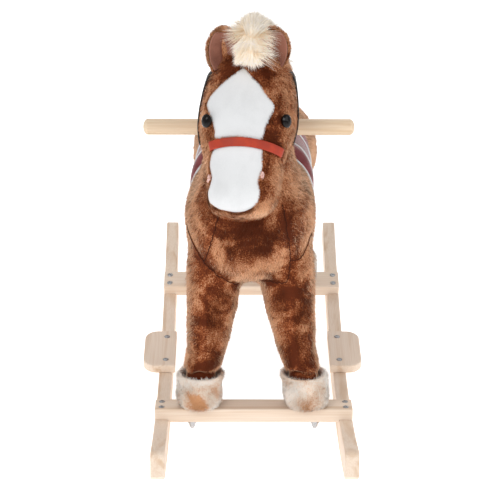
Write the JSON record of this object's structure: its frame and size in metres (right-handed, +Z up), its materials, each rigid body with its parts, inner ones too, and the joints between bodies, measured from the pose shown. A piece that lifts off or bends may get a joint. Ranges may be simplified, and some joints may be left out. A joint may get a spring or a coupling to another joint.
{
  "type": "rocking horse",
  "caption": "Plush rocking horse on two bent wooden rockers joined by crossbars, with side footrests, a turned handle through the neck, a padded saddle and a hanging tail.",
  "frame": {"origin": "on the floor, under the middle of the rocker base", "axes": "+Z up; the horse faces -Y; +X is the horse's left side"},
  "size_m": [0.308, 0.6264, 0.6048],
  "materials": {
    "wood": "clear satin lacquer on pale pine",
    "inner_wood": "sawn",
    "steel": "zinc plated",
    "plush": "short brown plush",
    "cream_plush": "short cream plush with a tan airbrushed front",
    "long_pile": "long cream pile",
    "eye": "polished black",
    "red_strap": "smooth rust-red band",
    "black_strap": "matt black strap",
    "saddle_cloth": "dusky red fabric with white piping",
    "ear_lining": "dusky mauve lining, brown plush back"
  },
  "bodies": {
    "horse": {"cap_nut_front_left": "steel", "cap_nut_front_right": "steel", "cap_nut_rear_left": "steel", "cap_nut_rear_right": "steel", "ear_left": "ear_lining", "ear_right": "ear_lining", "eye_left": "eye", "eye_right": "eye", "footrest_left": "wood", "footrest_right": "wood", "footrest_screw_left_aft": "steel", "footrest_screw_left_fore": "steel", "footrest_screw_right_aft": "steel", "footrest_screw_right_fore": "steel", "forelock": "long_pile", "front_crossbar": "wood", "front_screw_left_aft": "steel", "front_screw_left_fore": "steel", "front_screw_right_aft": "steel", "front_screw_right_fore": "steel", "handle_bar": "wood", "head_cover": "plush", "headstall": "black_strap", "hoof_cuff_front_left": "cream_plush", "hoof_cuff_front_right": "cream_plush", "hoof_cuff_rear_left": "cream_plush", "hoof_cuff_rear_right": "cream_plush", "leg_bolt_front_left": "steel", "leg_bolt_front_right": "steel", "leg_bolt_rear_left": "steel", "leg_bolt_rear_right": "steel", "leg_post_front_left": "inner_wood", "leg_post_front_right": "inner_wood", "leg_post_rear_left": "inner_wood", "leg_post_rear_right": "inner_wood", "leg_sleeve_front_left": "plush", "leg_sleeve_front_right": "plush", "leg_sleeve_rear_left": "plush", "leg_sleeve_rear_right": "plush", "mane": "long_pile", "neck_cover": "plush", "neck_post": "inner_wood", "noseband": "red_strap", "rear_crossbar": "wood", "rear_screw_left_aft": "steel", "rear_screw_left_fore": "steel", "rear_screw_right_aft": "steel", "rear_screw_right_fore": "steel", "rocker_left": "wood", "rocker_right": "wood", "saddle": "saddle_cloth", "seat_board": "inner_wood", "torso_cover": "plush", "washer_front_left": "steel", "washer_front_right": "steel", "washer_rear_left": "steel", "washer_rear_right": "steel"},
    "tail": {"tail": "long_pile"}
  },
  "joints": [
    {"name": "tail_swing", "type": "hinge", "parent": "horse", "child": "tail", "pos_m": [0.00707, 0.208, 0.345], "axis": [1, 0, 0], "range_deg": [0, 70]}
  ]
}
